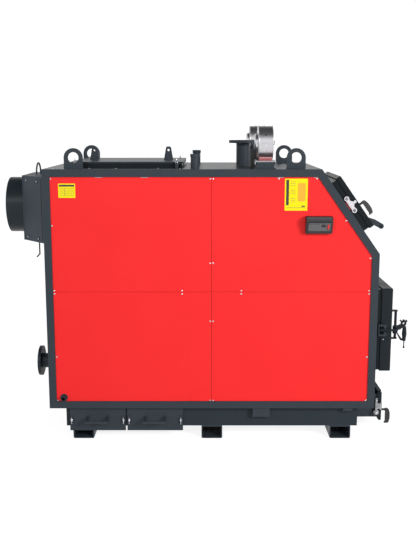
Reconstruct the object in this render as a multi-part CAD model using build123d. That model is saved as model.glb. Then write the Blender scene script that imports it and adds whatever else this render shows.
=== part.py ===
from build123d import *
from dataclasses import dataclass
from math import atan2, cos, degrees, hypot, pi, sin
import os

# Industrial solid-fuel boiler. X runs from the flue end to the door end, Y from the near side to the
# far side and Z up. The origin is on the floor, under the middle of the casing. Sizes are in mm.

# Casing
casing_length = 2230.0
casing_depth = 1030.0
casing_height = 1633.0
casing_clearance = 236.0
slope_run = 396.0
slope_drop = 560.0
frame_band = 50.0
frame_depth = 40.0
panel_recess = 8.0
panel_seam = 2.0
panel_seam_inset = 1112.0
panel_seam_z = 1051.0
cover_thickness = 20.0

# Pressure body and firebox
jacket_thickness = 100.0
front_wall_thickness = 80.0
exchanger_inset = 965.0
grate_height = 420.0
grate_bar_width = 26.0
grate_bar_depth = 32.0
grate_bar_pitch = 46.0
bearer_width = 40.0
bearer_depth = 40.0

# Plinth and skids
plinth_end_inset = 105.0
plinth_depth = 930.0
plinth_bottom = 93.0
ash_floor_thickness = 14.0
ash_pit_inset = 815.0
skid_width = 145.0
skid_wall = 8.0
skid_corner = 14.0
skid_inset = 117.0

# Doors
collar_wall = 45.0
door_overlap = 8.0
lining_gap = 12.0
lining_depth = 30.0
fire_door_width = 600.0
fire_door_height = 596.0
fire_door_thickness = 77.0
fire_door_standoff = 73.0
fire_door_z = 734.5
loading_door_width = 594.0
loading_door_height = 416.0
loading_door_thickness = 35.0
loading_door_standoff = 60.0
ash_door_width = 600.0
ash_door_height = 208.0
ash_door_thickness = 32.0
ash_door_standoff = 67.0
ash_door_z = 175.0
ash_door_foot = 20.0
ash_door_foot_thickness = 19.0
ash_duct_width = 580.0
ash_duct_wall = 20.0
ash_collar_height = 172.0
ash_hood_thickness = 22.0
ash_hood_gap = 5.0
door_corner = 8.0
door_face_bevel = 5.0

# Door hinges
hinge_offset = 22.0
hinge_pin_radius = 7.0
hinge_pin_clearance = 0.1
knuckle_radius = 14.0
knuckle_height = 34.0
knuckle_gap = 0.5
hinge_arm_thickness = 12.0
hinge_arm_setback = 34.0
fire_hinge_inset = 90.0
loading_hinge_inset = 80.0
ash_hinge_inset = 50.0

# Latch levers and keepers
lever_edge_inset = 35.0
lever_grip_length = 98.0
lever_grip_width = 24.0
lever_grip_thickness = 29.0
lever_grip_bow = 8.0
lever_ripples = 5
loading_lever_reach = 22.0
ash_lever_reach = 34.0
spindle_radius = 8.0
loading_lever_up = -36.0
ash_lever_z = 139.0
door_side_clearance = 7.0
keeper_boss_radius = 17.0
keeper_boss_spacing = 96.0
keeper_boss_inset = 19.0
keeper_thickness = 14.0
keeper_web = 26.0
keeper_knob_radius = 10.0
loading_keeper_up = 8.0
ash_keeper_z = 190.0
ash_keeper_height = 104.0
ash_keeper_width = 14.0
ash_keeper_boss_radius = 19.0

# Fire door latch
pull_bar_radius = 9.5
pull_bar_reach = 31.0
pull_bar_top = 868.0
pull_bar_bottom = 669.0
pull_foot_radius = 14.0
pull_foot_thickness = 9.0
latch_hub_radius = 18.0
latch_hub_top = 757.0
latch_hub_height = 52.0
latch_bar_z = 738.0
latch_bar_height = 15.0
latch_bar_thickness = 10.0
latch_bar_reach = 116.0
latch_arm_thickness = 18.0
latch_clevis_reach = 58.0
latch_clevis_z = 776.0
latch_clevis_radius = 19.0
latch_clevis_hole = 7.5
latch_prong = 32.0
latch_prong_width = 11.0
latch_prong_spread = 48.0
latch_grip_radius = 17.0
latch_grip_length = 106.0
latch_tail_length = 46.0
latch_tail_radius = 3.5
latch_lower_arm = 12.0
fire_keeper_height = 86.0
fire_keeper_thickness = 15.0
fire_keeper_length = 56.0
fire_keeper_strap = 8.0
fire_keeper_arm = 15.0
fire_keeper_plate = 18.0
fire_keeper_inset = 14.0
fire_keeper_play = 5.5

# Eye plate low on the loading door
door_lug_reach = 40.0
door_lug_drop = 38.0
door_lug_root = 64.0
door_lug_inset = 2.0
door_lug_thickness = 14.0
door_lug_eye = 19.0
door_lug_hole = 8.0

# Flue collector at the rear
flue_box_length = 190.0
flue_box_height = 447.0
flue_box_bottom = 1364.0
flue_box_width = 860.0
flue_box_neck = 420.0
flue_box_wall = 8.0
flue_radius = 195.5
flue_wall = 5.0
flue_rise = 229.0
flue_pipe_length = 132.0
flue_loop_width = 156.0
flue_loop_height = 83.0
flue_loop_radius = 5.5
flue_loop_steps = 8
flue_loop_setback = 124.0
flue_rod_radius = 4.5
flue_rod_setback = 70.5
flue_rod_y = -315.0
flue_rod_drop = 84.0
flue_rod_hook = 20.5
flue_rod_end_drop = 105.0

# Water connections
return_pipe_radius = 54.0
return_pipe_wall = 4.0
return_pipe_length = 161.0
return_pipe_z = 428.0
return_flange_radius = 110.0
return_flange_thickness = 22.0
return_bolt_circle = 180.0
return_bolt_count = 4
flow_pipe_radius = 47.5
flow_pipe_wall = 4.0
flow_pipe_height = 180.0
flow_pipe_inset = 893.0
flow_flange_radius = 100.0
flow_flange_thickness = 20.0
flow_bolt_circle = 160.0
flow_bolt_count = 4
flange_hole_radius = 9.0
socket_radius = 29.0
socket_wall = 4.0
socket_height = 97.0
socket_collar_radius = 32.0
socket_collar_height = 20.0
socket_x = -113.0
socket_y = 440.0
drain_inset = 100.0
drain_z = 312.0
drain_radius = 16.0
drain_wall = 3.5
drain_reach = 30.0
drain_collar_radius = 26.0
drain_collar_reach = 3.0

# Lifting lugs
lug_width = 125.0
lug_height = 135.0
lug_thickness = 18.0
lug_hole_radius = 36.0
lug_row_y = 435.0
lug_rear_inset = 198.0
lug_front_inset = 559.5

# Cleaning hatch on the top
hatch_rear_inset = 165.0
hatch_share = 0.34
hatch_width = 700.0
hatch_side_overhang = 5.0
hatch_end_overhang = 45.0
hatch_seat_height = 31.0
hatch_lid_thickness = 11.0
hatch_lid_lip = 24.0
hatch_lid_sheet = 4.0
hatch_ear_foot = 66.0
hatch_ear_tip = 34.0
hatch_ear_height = 93.0
hatch_ear_thickness = 12.0
hatch_ear_inset = 116.0
hatch_ear_hole = 8.0

# Fans on the top
fan_near_inset = 763.5
fan_far_inset = 779.5
fan_row_y = 396.0
fan_axis_height = 171.0
fan_radius = 108.5
fan_width = 97.0
fan_motor_radius = 56.0
fan_motor_length = 23.0
fan_motor_bevel = 8.0
fan_stub_radius = 17.0
fan_stub_length = 12.0
fan_plate_thickness = 8.0
fan_plate_length = 137.0
fan_plate_depth = 160.0
fan_plate_lip = 18.0
fan_pedestal_length = 116.0
fan_pedestal_flare = 12.0
fan_pedestal_depth = 150.0
fan_pedestal_height = 45.0
fan_neck_length = 84.0
fan_neck_depth = 110.0
fan_box_length = 38.0
fan_box_depth = 70.0
fan_box_height = 121.0
fan_box_gap = 14.0

# Controller on the near side
controller_inset = 412.0
controller_z = 1506.5
controller_width = 174.0
controller_height = 113.0
controller_depth = 68.0
controller_foot_depth = 34.0
controller_bevel = 20.0
controller_corner = 8.0
controller_face_width = 150.0
controller_face_height = 62.0
controller_face_thickness = 3.0

# Clean-out covers low on the near side
cover_near_gap = 11.5
cover_length = 386.0
cover_height = 172.0
cover_plate = 15.0
cover_rear_inset = 131.0
cover_handle_length = 146.0
cover_handle_reach = 88.0
cover_handle_radius = 8.0
cover_handle_leg = 10.0
cover_handle_foot = 32.0
cover_handle_drop = 84.0
base_bracket_depth = 40.0
base_bracket_wall = 5.0
middle_bracket_inset = 775.5
middle_bracket_length = 119.0
middle_bracket_height = 66.0
front_bracket_inset = 179.0
front_bracket_length = 68.0
front_bracket_height = 22.0

# Gap left between pieces of one frame that meet at a corner
joint_gap = 0.3

x_rear = -casing_length / 2
x_front = casing_length / 2
y_near = -casing_depth / 2
y_far = casing_depth / 2
z_bottom = casing_clearance
z_top = z_bottom + casing_height
slope_length = hypot(slope_run, slope_drop)
slope_tilt = degrees(atan2(slope_run, slope_drop))
normal_x = slope_drop / slope_length
normal_z = slope_run / slope_length
y_inner = y_far - frame_depth
y_firebox = y_inner - jacket_thickness
seam_x = x_rear + panel_seam_inset
exchanger_front_x = x_front - exchanger_inset
ash_pit_rear_x = x_front - ash_pit_inset
flow_pipe_x = x_front - flow_pipe_inset
drain_x = x_rear + drain_inset
hatch_length = hatch_share * casing_length
hatch_x = x_rear + hatch_rear_inset + hatch_length / 2
controller_x = x_front - controller_inset

LOW = (Align.CENTER, Align.CENTER, Align.MIN)


def block(x0, x1, y0, y1, z0, z1):
    """A box between two corners."""
    return Pos((x0 + x1) / 2, (y0 + y1) / 2, (z0 + z1) / 2) * Box(x1 - x0, y1 - y0, z1 - z0)


def side_plate(outline, y0, y1):
    """A plate between y0 and y1 with this outline, given as XZ points or as a closed line."""
    edge = Polyline(*outline, close=True) if isinstance(outline, list) else outline
    return extrude(Plane.XZ.offset(-y1) * make_face(edge), amount=y1 - y0)


def rod(start, end, radius):
    """A round bar from one point to another."""
    start, end = Vector(*start), Vector(*end)
    return Plane(origin=start, z_dir=end - start) * Cylinder(radius, (end - start).length, align=LOW)


def pipe(start, end, radius, wall):
    return rod(start, end, radius) - rod(start, end, radius - wall)


def bent_bar(points, radius):
    """An eight-sided bar that follows these points, with mitred bends."""
    path = Polyline(*points)
    section = RegularPolygon(radius, 8, major_radius=False, rotation=22.5)
    return sweep(Plane(origin=path @ 0, z_dir=path % 0) * section, path=path, transition=Transition.RIGHT)


def casing_outline(inset, bottom_inset=0.0):
    """The casing seen from the side, with its top, rear, front and slope moved inwards."""
    reach = normal_x * x_front + normal_z * (z_top - slope_drop) - inset
    right, top = x_front - inset, z_top - inset
    return [
        (x_rear + inset, z_bottom + bottom_inset),
        (right, z_bottom + bottom_inset),
        (right, (reach - normal_x * right) / normal_z),
        ((reach - normal_z * top) / normal_x, top),
        (x_rear + inset, top),
    ]


@dataclass
class Door:
    """A door in its own frame: X out of the casing, Y across towards the hinges, Z up the face."""

    place: Location
    width: float
    height: float
    thickness: float
    standoff: float
    hinge_inset: float
    overlap: float = door_overlap

    @property
    def face(self):
        return self.standoff + self.thickness

    @property
    def back(self):
        return self.standoff + joint_gap

    @property
    def collar_y(self):
        return self.width / 2 - self.overlap

    @property
    def collar_z(self):
        return self.height / 2 - self.overlap

    @property
    def mouth_y(self):
        return self.collar_y - collar_wall

    @property
    def mouth_z(self):
        return self.collar_z - collar_wall

    @property
    def near_y(self):
        """The plane beside the door's free edge that its keeper and latch keep to."""
        return -self.width / 2 - door_side_clearance

    @property
    def grip_y(self):
        return lever_edge_inset - self.width / 2

    @property
    def pivot(self):
        return self.standoff + self.thickness / 2, self.width / 2 + hinge_offset

    @property
    def hinge_heights(self):
        return self.hinge_inset - self.height / 2, self.height / 2 - self.hinge_inset


fire = Door(
    Pos(x_front, 0, fire_door_z),
    fire_door_width, fire_door_height, fire_door_thickness, fire_door_standoff, fire_hinge_inset,
)
loading = Door(
    Pos(x_front - slope_run / 2, 0, z_top - slope_drop / 2) * Rot(0, -slope_tilt, 0),
    loading_door_width, loading_door_height, loading_door_thickness, loading_door_standoff,
    loading_hinge_inset,
)
ash = Door(
    Pos(x_front, 0, ash_door_z),
    ash_door_width, ash_door_height, ash_door_thickness, ash_door_standoff, ash_hinge_inset,
    (ash_door_width - ash_duct_width) / 2,
)


def four_sided(outer_y, outer_z, inner_y, inner_z, x0, x1, lift=0.0):
    """The four bars round a mouth, near, far, upper and lower, a hairline apart."""
    bar_y = inner_y - joint_gap
    return [
        block(x0, x1, -outer_y, -inner_y, lift - outer_z, lift + outer_z),
        block(x0, x1, inner_y, outer_y, lift - outer_z, lift + outer_z),
        block(x0, x1, -bar_y, bar_y, lift + inner_z, lift + outer_z),
        block(x0, x1, -bar_y, bar_y, lift - outer_z, lift - inner_z),
    ]


# Casing

def side_frame(sign):
    y0, y1 = sorted((sign * y_far, sign * y_inner))
    inner = casing_outline(frame_band, frame_band)
    return side_plate(casing_outline(0), y0, y1) - side_plate(inner, y0 - 1, y1 + 1)


def side_panels(sign):
    """Four painted panels that fill one side frame, parted by an upright and a level seam."""
    y0, y1 = sorted((sign * (y_far - panel_recess), sign * y_inner))
    inset = frame_band + joint_gap
    sheet = side_plate(casing_outline(inset, inset), y0, y1)
    if sign < 0:
        hole = rod((drain_x, y0 - 1, drain_z), (drain_x, y1 + 1, drain_z), drain_collar_radius)
        sheet -= hole
    half = panel_seam / 2
    far = casing_length + casing_height
    tiles = []
    for x0, x1 in ((-far, seam_x - half), (seam_x + half, far)):
        for z0, z1 in ((-far, panel_seam_z - half), (panel_seam_z + half, far)):
            tiles.append(sheet & block(x0, x1, -far, far, z0, z1))
    return tiles


top_corner_x = x_front - slope_run
knee_z = z_top - slope_drop
core = casing_outline(cover_thickness)
inner_core = casing_outline(cover_thickness + front_wall_thickness)
roof_core = casing_outline(cover_thickness + jacket_thickness)
core_rear_x = x_rear + cover_thickness
core_front_x = x_front - cover_thickness
core_top_z = z_top - cover_thickness
wall_front_x = core_front_x - front_wall_thickness


def top_cover():
    points = [(x_rear, core_top_z), core[3], (top_corner_x, z_top), (x_rear, z_top)]
    return side_plate(points, -y_inner, y_inner)


def rear_cover():
    return block(x_rear, core_rear_x, -y_inner, y_inner, z_bottom, core_top_z)


def front_panel():
    """The painted panel on the upright front, cut round the fire door's collar."""
    points = [(core_front_x, z_bottom), (x_front, z_bottom), (x_front, knee_z), core[2]]
    y, z = fire.collar_y + joint_gap, fire.collar_z + joint_gap
    hole = block(-2 * cover_thickness, cover_thickness, -y, y, -z, z)
    return side_plate(points, -y_inner, y_inner) - fire.place * hole


def slope_panel():
    """The painted panel on the slope, cut round the loading door's collar."""
    points = [core[2], (x_front, knee_z), (top_corner_x, z_top), core[3]]
    y, z = loading.collar_y + joint_gap, loading.collar_z + joint_gap
    hole = block(-2 * cover_thickness, cover_thickness, -y, y, -z, z)
    return side_plate(points, -y_inner, y_inner) - loading.place * hole


# Pressure body

def heat_exchanger():
    return block(core_rear_x, exchanger_front_x, -y_inner, y_inner, z_bottom, core_top_z)


def side_jacket(sign):
    """The water jacket on one side of the firebox."""
    points = [(exchanger_front_x, z_bottom), core[1], core[2], core[3], (exchanger_front_x, core_top_z)]
    y0, y1 = sorted((sign * y_inner, sign * y_firebox))
    return side_plate(points, y0, y1)


def roof_jacket():
    points = [(exchanger_front_x, roof_core[3][1]), roof_core[3], core[3], (exchanger_front_x, core_top_z)]
    return side_plate(points, -y_firebox, y_firebox)


def front_wall():
    """The upright wall behind the front panel, in four pieces round the fire door's mouth."""
    points = [(wall_front_x, z_bottom), (core_front_x, z_bottom), core[2], inner_core[2]]
    wall = side_plate(points, -y_firebox, y_firebox)
    far = casing_length
    bars = four_sided(y_firebox, far, fire.mouth_y, fire.mouth_z, -far, far)
    return [wall & (fire.place * bar) for bar in bars]


def slope_wall():
    """The sloping wall, in four pieces round the loading door's mouth."""
    points = [inner_core[2], core[2], core[3], roof_core[3]]
    wall = side_plate(points, -y_firebox, y_firebox)
    far = casing_length
    bars = four_sided(y_firebox, far, loading.mouth_y, loading.mouth_z, -far, far)
    return [wall & (loading.place * bar) for bar in bars]


def grate():
    """Cast bars on two bearers that span from jacket to jacket."""
    x0, x1 = exchanger_front_x + joint_gap, wall_front_x - joint_gap
    z0 = grate_height - grate_bar_depth
    half_y = y_firebox - joint_gap
    body = block(x0, x0 + bearer_width, -half_y, half_y, z0 - bearer_depth, z0)
    body += block(x1 - bearer_width, x1, -half_y, half_y, z0 - bearer_depth, z0)
    count = int((2 * half_y - grate_bar_width) / grate_bar_pitch) + 1
    for i in range(count):
        y = (i - (count - 1) / 2) * grate_bar_pitch
        body += block(x0, x1, y - grate_bar_width / 2, y + grate_bar_width / 2, z0, grate_height)
    return body


# Plinth, ash duct and skids
plinth_x = x_front - plinth_end_inset
skid_x = plinth_x - skid_inset
plinth_y = plinth_depth / 2
duct_y = ash_duct_width / 2
duct_inner_y = duct_y - ash_duct_wall
duct_front_x = x_front + ash_door_standoff
duct_top_z = plinth_bottom + ash_collar_height


def plinth():
    return block(-plinth_x, ash_pit_rear_x, -plinth_y, plinth_y, plinth_bottom, z_bottom)


def plinth_rails():
    return [
        block(ash_pit_rear_x, plinth_x, -plinth_y, -duct_inner_y, plinth_bottom, z_bottom),
        block(ash_pit_rear_x, plinth_x, duct_inner_y, plinth_y, plinth_bottom, z_bottom),
    ]


def ash_duct():
    """Floor, two cheeks and lintel of the duct that runs from the ash pit to the ash door."""
    half = duct_inner_y - joint_gap
    floor_top = plinth_bottom + ash_floor_thickness
    floor = block(ash_pit_rear_x, duct_front_x, -half, half, plinth_bottom, floor_top)
    cheek = [
        (plinth_x, plinth_bottom),
        (duct_front_x, plinth_bottom),
        (duct_front_x, duct_top_z),
        (x_front, duct_top_z),
        (x_front, z_bottom),
        (plinth_x, z_bottom),
    ]
    near, far = side_plate(cheek, -duct_y, -duct_inner_y), side_plate(cheek, duct_inner_y, duct_y)
    lintel = block(x_front, duct_front_x, -half, half, duct_top_z - ash_duct_wall, duct_top_z)
    return [floor, near, far, lintel]


def ash_hood():
    """The sloping plate over the ash door, parallel to the casing's slope."""
    low = ash_door_z + ash_door_height / 2 + ash_hood_gap
    lip = x_front + ash.face
    run = slope_drop / slope_run
    outer = low + (lip - x_front) * run
    level = ash_hood_thickness / normal_x
    drop = ash_hood_thickness / normal_z
    points = [(lip - level, low), (lip, low), (x_front, outer), (x_front, outer - drop)]
    return side_plate(points, -duct_y, duct_y)


def skid(x):
    """One rectangular tube that runs across under the plinth, open at both ends."""
    outer = Box(skid_width, plinth_depth, plinth_bottom)
    outer = chamfer(outer.edges().filter_by(Axis.Y), skid_corner / 2)
    inner = Box(skid_width - 2 * skid_wall, plinth_depth + 2, plinth_bottom - 2 * skid_wall)
    inner = chamfer(inner.edges().filter_by(Axis.Y), (skid_corner - skid_wall) / 2)
    return Pos(x, 0, plinth_bottom / 2) * (outer - inner)


# Doors

def door_collar(door):
    """The steel frame that stands out of the casing round a door's mouth."""
    return [
        door.place * bar
        for bar in four_sided(
            door.collar_y, door.collar_z, door.mouth_y, door.mouth_z, -cover_thickness, door.standoff
        )
    ]


def door_leaf(door):
    """An insulated leaf with cut corners and a bevelled face."""
    leaf = block(door.back, door.face, -door.width / 2, door.width / 2, -door.height / 2, door.height / 2)
    leaf = chamfer(leaf.edges().filter_by(Axis.X), door_corner / 2)
    return door.place * chamfer(leaf.faces().sort_by(Axis.X)[-1].edges(), door_face_bevel)


def ash_leaf():
    """The ash door, whose foot is thinner where it hangs below the duct."""
    top, bottom = ash.height / 2, -ash.height / 2
    shoulder = bottom + ash_door_foot
    foot = ash.face - ash_door_foot_thickness
    outline = [(ash.back, top), (ash.face, top), (ash.face, bottom), (foot, bottom), (ash.back, shoulder)]
    leaf = side_plate(outline, -ash.width / 2, ash.width / 2)
    return ash.place * chamfer(leaf.faces().sort_by(Axis.X)[-1].edges(), door_face_bevel)


def door_lining(door):
    """The refractory block on the back of a door, which sits in the mouth with room to swing out."""
    y, z = door.mouth_y - lining_gap, door.mouth_z - lining_gap
    return door.place * block(door.back - lining_depth, door.back, -y, y, -z, z)


def hinge_leaf(door, z):
    """The moving knuckle and its plate, above the fixed one."""
    x, y = door.pivot
    z0 = z + knuckle_gap / 2
    z1 = z0 + knuckle_height
    half = hinge_arm_thickness / 2
    knuckle = rod((x, y, z0), (x, y, z1), knuckle_radius)
    knuckle += block(x - half, x + half, door.width / 2, y, z0, z1)
    bore = rod((x, y, z0 - 1), (x, y, z1 + 1), hinge_pin_radius + hinge_pin_clearance)
    return door.place * (knuckle - bore)


def hinge_bracket(door, z):
    """The fixed knuckle, its pin and the bent arm that carries them from the far side of the collar."""
    x, y = door.pivot
    z1 = z - knuckle_gap / 2
    z0 = z1 - knuckle_height
    half = hinge_arm_thickness / 2
    body = rod((x, y, z0), (x, y, z1), knuckle_radius)
    body += rod((x, y, z0), (x, y, z1 + knuckle_gap + knuckle_height), hinge_pin_radius)
    foot = door.standoff - hinge_arm_setback
    body += block(foot, x, y - half, y + half, z0, z1)
    body += block(foot, foot + hinge_arm_thickness, door.collar_y, y, z0, z1)
    return door.place * body


def hinge_leaves(door):
    return [hinge_leaf(door, z) for z in door.hinge_heights]


def hinge_brackets():
    return [hinge_bracket(door, z) for door in (fire, loading, ash) for z in door.hinge_heights]


def loading_keeper():
    """A cast keeper on the near side of the loading door's collar: two bosses, a web and a knob."""
    y0, y1 = -loading.collar_y, loading.near_y
    y2 = y1 - keeper_thickness
    x = loading.standoff - keeper_boss_inset
    z = loading_keeper_up
    half = keeper_boss_spacing / 2
    body = block(x - keeper_web / 2, x + keeper_web / 2, y2, y1, z - half, z + half)
    for end in (z - half, z + half):
        body += rod((x, y0, end), (x, y2, end), keeper_boss_radius)
    tip = loading.standoff + keeper_boss_radius
    root = tip - keeper_web
    nose = [(x, z - half / 2), (root, z - half / 2), (tip, z), (root, z + half / 2), (x, z + half / 2)]
    body += side_plate(nose, y2, y1)
    body += rod((tip, y1, z), (tip, y2 - 3, z), keeper_knob_radius)
    return loading.place * body


def ash_keeper():
    """The keeper beside the ash door: a tall column on the duct, a link and a short column."""
    y0, y1 = -duct_y, ash.near_y
    y2 = y1 - keeper_thickness
    z = ash_keeper_z - ash_door_z
    half, wide = ash_keeper_height / 2, ash_keeper_width
    x = ash.standoff - wide / 2 - 2
    body = block(x - wide / 2, x + wide / 2, y2, y0, z - half, z + half)
    body += rod((x, y1, z - half), (x, y2 - 4, z - half), ash_keeper_boss_radius)
    x_out = ash.standoff + ash.thickness / 2 + wide / 2
    body += block(x, x_out, y2, y1, z - half / 2, z + half / 4)
    outer = block(x_out - wide / 2, x_out + wide / 2, y2, y1, z - half * 0.7, z + half * 0.4)
    return ash.place * (body + chamfer(outer.edges().filter_by(Axis.Y), wide / 4))


def fire_keeper():
    """A forked guide on the near side of the fire door's collar that the latch bar lies in."""
    y0, y1 = -fire.collar_y, fire.near_y
    y2 = y1 - fire_keeper_thickness
    z = latch_bar_z - fire_door_z
    half = fire_keeper_height / 2
    slot = latch_bar_height / 2 + fire_keeper_play
    x1 = fire.standoff - fire_keeper_inset
    x0 = x1 - fire_keeper_strap
    x3 = x0 + fire_keeper_length
    x2 = x3 - fire_keeper_plate
    body = block(x0, x1, y2, y0, z - half, z + half)
    for sign in (-1, 1):
        inner, outer = sorted((z + sign * (half - fire_keeper_arm), z + sign * half))
        body += block(x0, x3, y2, y1, inner, outer)
        inner, outer = sorted((z + sign * slot, z + sign * half))
        body += block(x2, x3, y2, y1, inner, outer)
    return fire.place * chamfer(body.edges().filter_by(Axis.Y).sort_by(Axis.X)[-4:], 3)


def latch_lever(door, z, reach):
    """A finger-rippled grip that hangs from a spindle on the door's face, near its free edge."""
    inner = door.face + reach
    outer = inner + lever_grip_thickness
    top, bottom = z + spindle_radius, z - lever_grip_length
    low, high = bottom + 6, z - 2 * spindle_radius
    step = (high - low) / lever_ripples
    outline = [(inner - 6, bottom), (inner, low)]
    for i in range(lever_ripples):
        outline += [(inner + 2.5, low + (i + 0.35) * step), (inner + 2.5, low + (i + 0.65) * step)]
        outline.append((inner, low + (i + 1) * step))
    outline += [(inner, top), (outer - 10, top), (outer - 3, top - 7)]
    outline += [(outer + lever_grip_bow / 2, top - 34), (outer + lever_grip_bow / 2, bottom + 34)]
    outline += [(outer - 3, bottom + 7), (outer - 10, bottom)]
    half = lever_grip_width / 2
    grip = side_plate(outline, door.grip_y - half, door.grip_y + half)
    start, end = (door.face + joint_gap, door.grip_y, z), (inner + 10, door.grip_y, z)
    return door.place * (grip + rod(start, end, spindle_radius))


def pull_bar():
    """The upright bar on the fire door, between two flat round-ended feet on the leaf."""
    x, y = fire.face + pull_bar_reach, fire.grip_y
    low, high = pull_bar_bottom - fire_door_z, pull_bar_top - fire_door_z
    body = rod((x, y, low), (x, y, high), pull_bar_radius)
    r, half = pull_foot_radius, pull_foot_thickness / 2
    for z in (low, high):
        body += block(fire.face, x, y - r, y + r, z - half, z + half)
        body += rod((x, y, z - half), (x, y, z + half), r)
    return fire.place * body


def fire_latch():
    """The lever that turns on the fire door's pull bar: hub, latch bar, clevis, grip and tail."""
    x, y = fire.face + pull_bar_reach, fire.grip_y
    hub_top = latch_hub_top - fire_door_z
    hub_low = hub_top - latch_hub_height
    body = rod((x, y, hub_low), (x, y, hub_top), latch_hub_radius)
    z = latch_bar_z - fire_door_z
    half = latch_bar_height / 2
    y_in, y_out = fire.near_y, fire.near_y - latch_bar_thickness
    body += block(x - latch_hub_radius / 2, x + latch_hub_radius / 2, y_out, y, z - half, z + half)
    body += block(x - latch_bar_reach, x, y_out, y_in, z - half, z + half)

    # Upper arm and clevis, cut from one plate
    y0, y1 = y - latch_arm_thickness / 2, y + latch_arm_thickness / 2
    cx, cz = x + latch_clevis_reach, latch_clevis_z - fire_door_z
    arm = [(x, hub_top - 4), (x + 34, cz - 8), (cx, cz), (cx, cz - 24)]
    arm += [(x + 36, hub_top - 24), (x, hub_low + 18)]
    plate = side_plate(arm, y0, y1) + rod((cx, y0, cz), (cx, y1, cz), latch_clevis_radius)
    wide = latch_prong_width / 2
    for angle in (-latch_prong_spread, 0, latch_prong_spread):
        prong = block(-wide, wide, y0, y1, 0, latch_prong - (0 if angle else wide))
        plate += Pos(cx, 0, cz) * Rot(0, angle, 0) * prong
    body += plate - rod((cx, y0 - 1, cz), (cx, y1 + 1, cz), latch_clevis_hole)

    # Barrel grip from two cones, wide ends together
    gx, g1 = cx + 8, cz - 22
    g0 = g1 - latch_grip_length
    r, half = latch_grip_radius, latch_grip_length / 2
    body += Pos(gx, y, g0) * Cone(r * 0.62, r, half, align=LOW)
    body += Pos(gx, y, g0 + half) * Cone(r, r * 0.7, half, align=LOW)

    # Lower arm, then the tail with its knob
    w = latch_lower_arm / 2
    lower = [(x + 12, hub_low + 12), (x + 19, hub_low + 1), (x + 46, g0 + 20), (gx, g0 + 12)]
    lower += [(gx, g0), (x + 38, g0 + 6), (x + 14, hub_low - 7), (x + 12, hub_low)]
    body += side_plate(lower, y - w, y + w)
    tail = g0 - latch_tail_length
    body += bent_bar([(gx, y, g0 + 2), (gx, y, tail)], latch_tail_radius)
    body += bent_bar([(gx, y, tail + 4), (gx, y, tail - 6)], latch_tail_radius * 1.8)
    bore = rod((x, y, hub_low - 1), (x, y, hub_top + 1), pull_bar_radius + hinge_pin_clearance)
    return fire.place * (body - bore)


def loading_lug():
    """The eye plate low on the loading door's face."""
    y0, y1 = loading.grip_y - door_lug_thickness / 2, loading.grip_y + door_lug_thickness / 2
    low = door_lug_inset - loading.height / 2
    cx, cz = loading.face + door_lug_reach, -loading.height / 2 - door_lug_drop
    r = door_lug_eye
    outline = [(loading.face, low), (loading.face, low + door_lug_root)]
    outline.append((loading.face + door_lug_root / 2, low + door_lug_root / 3))
    outline += [(cx + r * 0.8, cz + r * 0.6), (cx - r * 0.6, cz - r * 0.8)]
    plate = side_plate(outline, y0, y1) + rod((cx, y0, cz), (cx, y1, cz), r)
    return loading.place * (plate - rod((cx, y0 - 1, cz), (cx, y1 + 1, cz), door_lug_hole))


# Flue collector

box_x = x_rear - flue_box_length
box_low = flue_box_bottom
box_high = flue_box_bottom + flue_box_height
flue_z = flue_box_bottom + flue_rise


def flue_box():
    """Top, bottom and two slanting sides of the collector between the casing and the flue."""
    wide, neck, wall = flue_box_width / 2, flue_box_neck / 2, flue_box_wall
    plan = make_face(Polyline((box_x, -neck), (x_rear, -wide), (x_rear, wide), (box_x, neck), close=True))
    top = Pos(0, 0, box_high - wall) * extrude(plan, amount=wall)
    bottom = Pos(0, 0, box_low) * extrude(plan, amount=wall)
    sides = []
    for sign in (-1, 1):
        strip = Polyline(
            (box_x, sign * neck), (x_rear, sign * wide),
            (x_rear, sign * (wide - wall)), (box_x, sign * (neck - wall)),
            close=True,
        )
        height = flue_box_height - 2 * (wall + joint_gap)
        side = extrude(make_face(strip), amount=height * sign)
        sides.append(Pos(0, 0, box_low + wall + joint_gap - side.bounding_box().min.Z) * side)
    return [top, bottom, *sides]


def flue_end_plate():
    half = flue_box_neck / 2
    plate = block(box_x - flue_box_wall, box_x, -half, half, box_low, box_high)
    hole = rod((box_x - flue_box_wall - 1, 0, flue_z), (box_x + 1, 0, flue_z), flue_radius - flue_wall)
    return plate - hole


def flue_pipe():
    start = box_x - flue_box_wall
    return pipe((start, 0, flue_z), (box_x - flue_pipe_length, 0, flue_z), flue_radius, flue_wall)


def flue_loop():
    """The loop handle on top of the collector, bent to half a circle."""
    x = x_rear - flue_loop_setback
    half = flue_loop_width / 2 - flue_loop_radius
    foot = flue_loop_height - flue_loop_radius - half
    points = [(x, -half, box_high)]
    for i in range(flue_loop_steps + 1):
        angle = pi * i / flue_loop_steps
        points.append((x, -half * cos(angle), box_high + foot + half * sin(angle)))
    points.append((x, half, box_high))
    return bent_bar(points, flue_loop_radius)


def flue_rod():
    """The bent rod that hangs under the collector near its near edge."""
    x, y = x_rear - flue_rod_setback, flue_rod_y
    knee, tip = (x, y, box_low - flue_rod_drop), (x - flue_rod_hook, y, box_low - flue_rod_end_drop)
    return bent_bar([(x, y, box_low), knee, tip], flue_rod_radius)


# Water connections

def flanged_pipe(start, end, radius, wall, flange_radius, flange_thickness, circle, count):
    """A pipe with a drilled flange on its far end."""
    start, end = Vector(*start), Vector(*end)
    out = (end - start).normalized()
    body = rod(start, end, radius) + rod(end - out * flange_thickness, end, flange_radius)
    body -= rod(start - out, end + out, radius - wall)
    face = Plane(origin=end, z_dir=out)
    for i in range(count):
        angle = 2 * pi * (i + 0.5) / count
        spot = (circle / 2 * cos(angle), circle / 2 * sin(angle), -flange_thickness / 2)
        body -= face * Pos(*spot) * Cylinder(flange_hole_radius, flange_thickness + 2)
    return body


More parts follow.
